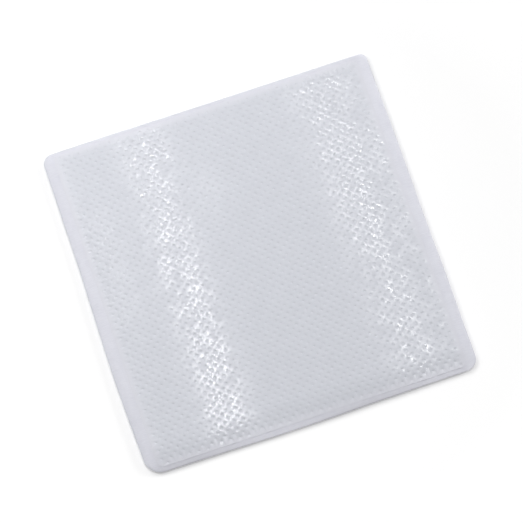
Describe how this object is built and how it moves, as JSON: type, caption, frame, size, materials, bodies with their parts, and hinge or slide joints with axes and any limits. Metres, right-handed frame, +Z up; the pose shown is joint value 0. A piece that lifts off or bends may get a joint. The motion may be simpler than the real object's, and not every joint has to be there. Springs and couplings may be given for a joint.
{
  "type": "low adherent dressing",
  "caption": "Square, soft absorbent wound pad with rolled edges, faced on top with a glossy perforated low adherent film.",
  "frame": {"origin": "middle of the flat underside that the dressing lies on", "axes": "+Z up through the pad, from the underside to the film; +X across the film's columns of perforations, towards the straighter rolled side edge; +Y along the columns, towards the back cut end"},
  "size_m": [0.1006, 0.1004, 0.003],
  "materials": {
    "fibre_pad": "soft matt bluish-white needled fibre",
    "glossy_film": "thin clear film over white fibre, glossy, sparkling on the lands between its perforations"
  },
  "bodies": {
    "root": {"absorbent_pad": "fibre_pad", "perforated_film": "glossy_film"}
  },
  "joints": []
}
